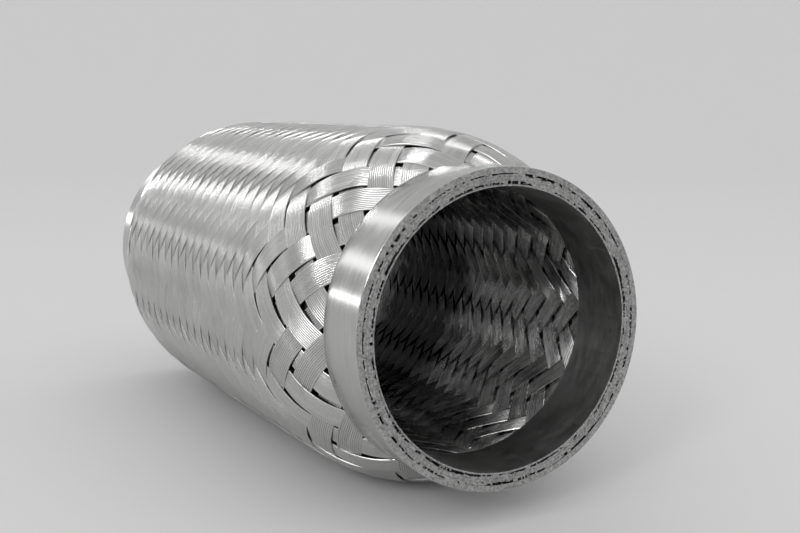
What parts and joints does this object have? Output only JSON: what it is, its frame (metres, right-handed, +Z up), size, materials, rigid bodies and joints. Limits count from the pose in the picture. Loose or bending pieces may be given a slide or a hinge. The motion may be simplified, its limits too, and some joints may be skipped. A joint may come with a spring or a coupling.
{
  "type": "braided bellows expansion joint",
  "caption": "Straight flexible metal bellows joint for a round pipe, with woven wire braid inside and out, a smooth collar at each end and an open bore.",
  "frame": {"origin": "on the pipe axis, half way between the two end faces", "axes": "+X along the pipe axis towards the front end, +Z up with the part lying on its side, +Y to its side"},
  "size_m": [0.1524, 0.0704, 0.0704],
  "materials": {
    "collar": "smooth satin with fine drawn lines",
    "outer_braid": "bright drawn wire, woven flat",
    "inner_braid": "dull drawn wire, woven flat",
    "bellows": "smooth rolled sheet",
    "inner_ring": "dull satin, pressed in"
  },
  "bodies": {
    "front_end": {"front_inner_ring": "inner_ring", "front_inner_braid_tail": "inner_braid", "front_bellows_neck": "bellows", "front_outer_braid_tail": "outer_braid", "front_collar": "collar"},
    "section_01": {"inner_braid_01": "inner_braid", "bellows_01": "bellows", "outer_braid_01": "outer_braid"},
    "section_02": {"inner_braid_02": "inner_braid", "bellows_02": "bellows", "outer_braid_02": "outer_braid"},
    "section_03": {"inner_braid_03": "inner_braid", "bellows_03": "bellows", "outer_braid_03": "outer_braid"},
    "section_04": {"inner_braid_04": "inner_braid", "bellows_04": "bellows", "outer_braid_04": "outer_braid"},
    "section_05": {"inner_braid_05": "inner_braid", "bellows_05": "bellows", "outer_braid_05": "outer_braid"},
    "section_06": {"inner_braid_06": "inner_braid", "bellows_06": "bellows", "outer_braid_06": "outer_braid"},
    "section_07": {"inner_braid_07": "inner_braid", "bellows_07": "bellows", "outer_braid_07": "outer_braid"},
    "section_08": {"inner_braid_08": "inner_braid", "bellows_08": "bellows", "outer_braid_08": "outer_braid"},
    "section_09": {"inner_braid_09": "inner_braid", "bellows_09": "bellows", "outer_braid_09": "outer_braid"},
    "section_10": {"inner_braid_10": "inner_braid", "bellows_10": "bellows", "outer_braid_10": "outer_braid"},
    "section_11": {"inner_braid_11": "inner_braid", "bellows_11": "bellows", "outer_braid_11": "outer_braid"},
    "rear_end": {"rear_inner_ring": "inner_ring", "rear_inner_braid_tail": "inner_braid", "rear_bellows_neck": "bellows", "rear_outer_braid_tail": "outer_braid", "rear_collar": "collar"}
  },
  "joints": [
    {"name": "front_pitch", "type": "hinge", "parent": "front_end", "child": "section_01", "pos_m": [0.062, 0, 0], "axis": [0, 1, 0], "range_deg": [-2.75, 2.75], "stiffness_Nm_per_rad": 3},
    {"name": "front_yaw", "type": "hinge", "parent": "section_01", "child": "section_02", "pos_m": [0.05124, 0, 0], "axis": [0, 0, 1], "range_deg": [-2.75, 2.75], "stiffness_Nm_per_rad": 3},
    {"name": "axial_slide", "type": "slide", "parent": "section_02", "child": "section_03", "axis": [1, 0, 0], "range_m": [-0.0015, 0.003], "stiffness_N_per_m": 600},
    {"name": "front_pitch_2", "type": "hinge", "parent": "section_03", "child": "section_04", "pos_m": [0.02831, 0, 0], "axis": [0, 1, 0], "range_deg": [-2.75, 2.75], "stiffness_Nm_per_rad": 3},
    {"name": "front_yaw_2", "type": "hinge", "parent": "section_04", "child": "section_05", "pos_m": [0.01755, 0, 0], "axis": [0, 0, 1], "range_deg": [-2.75, 2.75], "stiffness_Nm_per_rad": 3},
    {"name": "axial_slide_2", "type": "slide", "parent": "section_05", "child": "section_06", "axis": [1, 0, 0], "range_m": [-0.0015, 0.003], "stiffness_N_per_m": 600},
    {"name": "axial_slide_3", "type": "slide", "parent": "section_06", "child": "section_07", "axis": [1, 0, 0], "range_m": [-0.0015, 0.003], "stiffness_N_per_m": 600},
    {"name": "rear_yaw", "type": "hinge", "parent": "section_07", "child": "section_08", "pos_m": [-0.01755, 0, 0], "axis": [0, 0, 1], "range_deg": [-2.75, 2.75], "stiffness_Nm_per_rad": 3},
    {"name": "rear_pitch", "type": "hinge", "parent": "section_08", "child": "section_09", "pos_m": [-0.02831, 0, 0], "axis": [0, 1, 0], "range_deg": [-2.75, 2.75], "stiffness_Nm_per_rad": 3},
    {"name": "axial_slide_4", "type": "slide", "parent": "section_09", "child": "section_10", "axis": [1, 0, 0], "range_m": [-0.0015, 0.003], "stiffness_N_per_m": 600},
    {"name": "rear_yaw_2", "type": "hinge", "parent": "section_10", "child": "section_11", "pos_m": [-0.05124, 0, 0], "axis": [0, 0, 1], "range_deg": [-2.75, 2.75], "stiffness_Nm_per_rad": 3},
    {"name": "rear_pitch_2", "type": "hinge", "parent": "section_11", "child": "rear_end", "pos_m": [-0.062, 0, 0], "axis": [0, 1, 0], "range_deg": [-2.75, 2.75], "stiffness_Nm_per_rad": 3}
  ],
  "couplings": [
    {"joint": "front_pitch_2", "follows": "front_pitch", "ratio": 1},
    {"joint": "front_yaw_2", "follows": "front_yaw", "ratio": 1},
    {"joint": "axial_slide_2", "follows": "axial_slide", "ratio": 1},
    {"joint": "axial_slide_3", "follows": "axial_slide", "ratio": 1},
    {"joint": "axial_slide_4", "follows": "axial_slide", "ratio": 1},
    {"joint": "rear_yaw_2", "follows": "rear_yaw", "ratio": 1},
    {"joint": "rear_pitch_2", "follows": "rear_pitch", "ratio": 1}
  ]
}
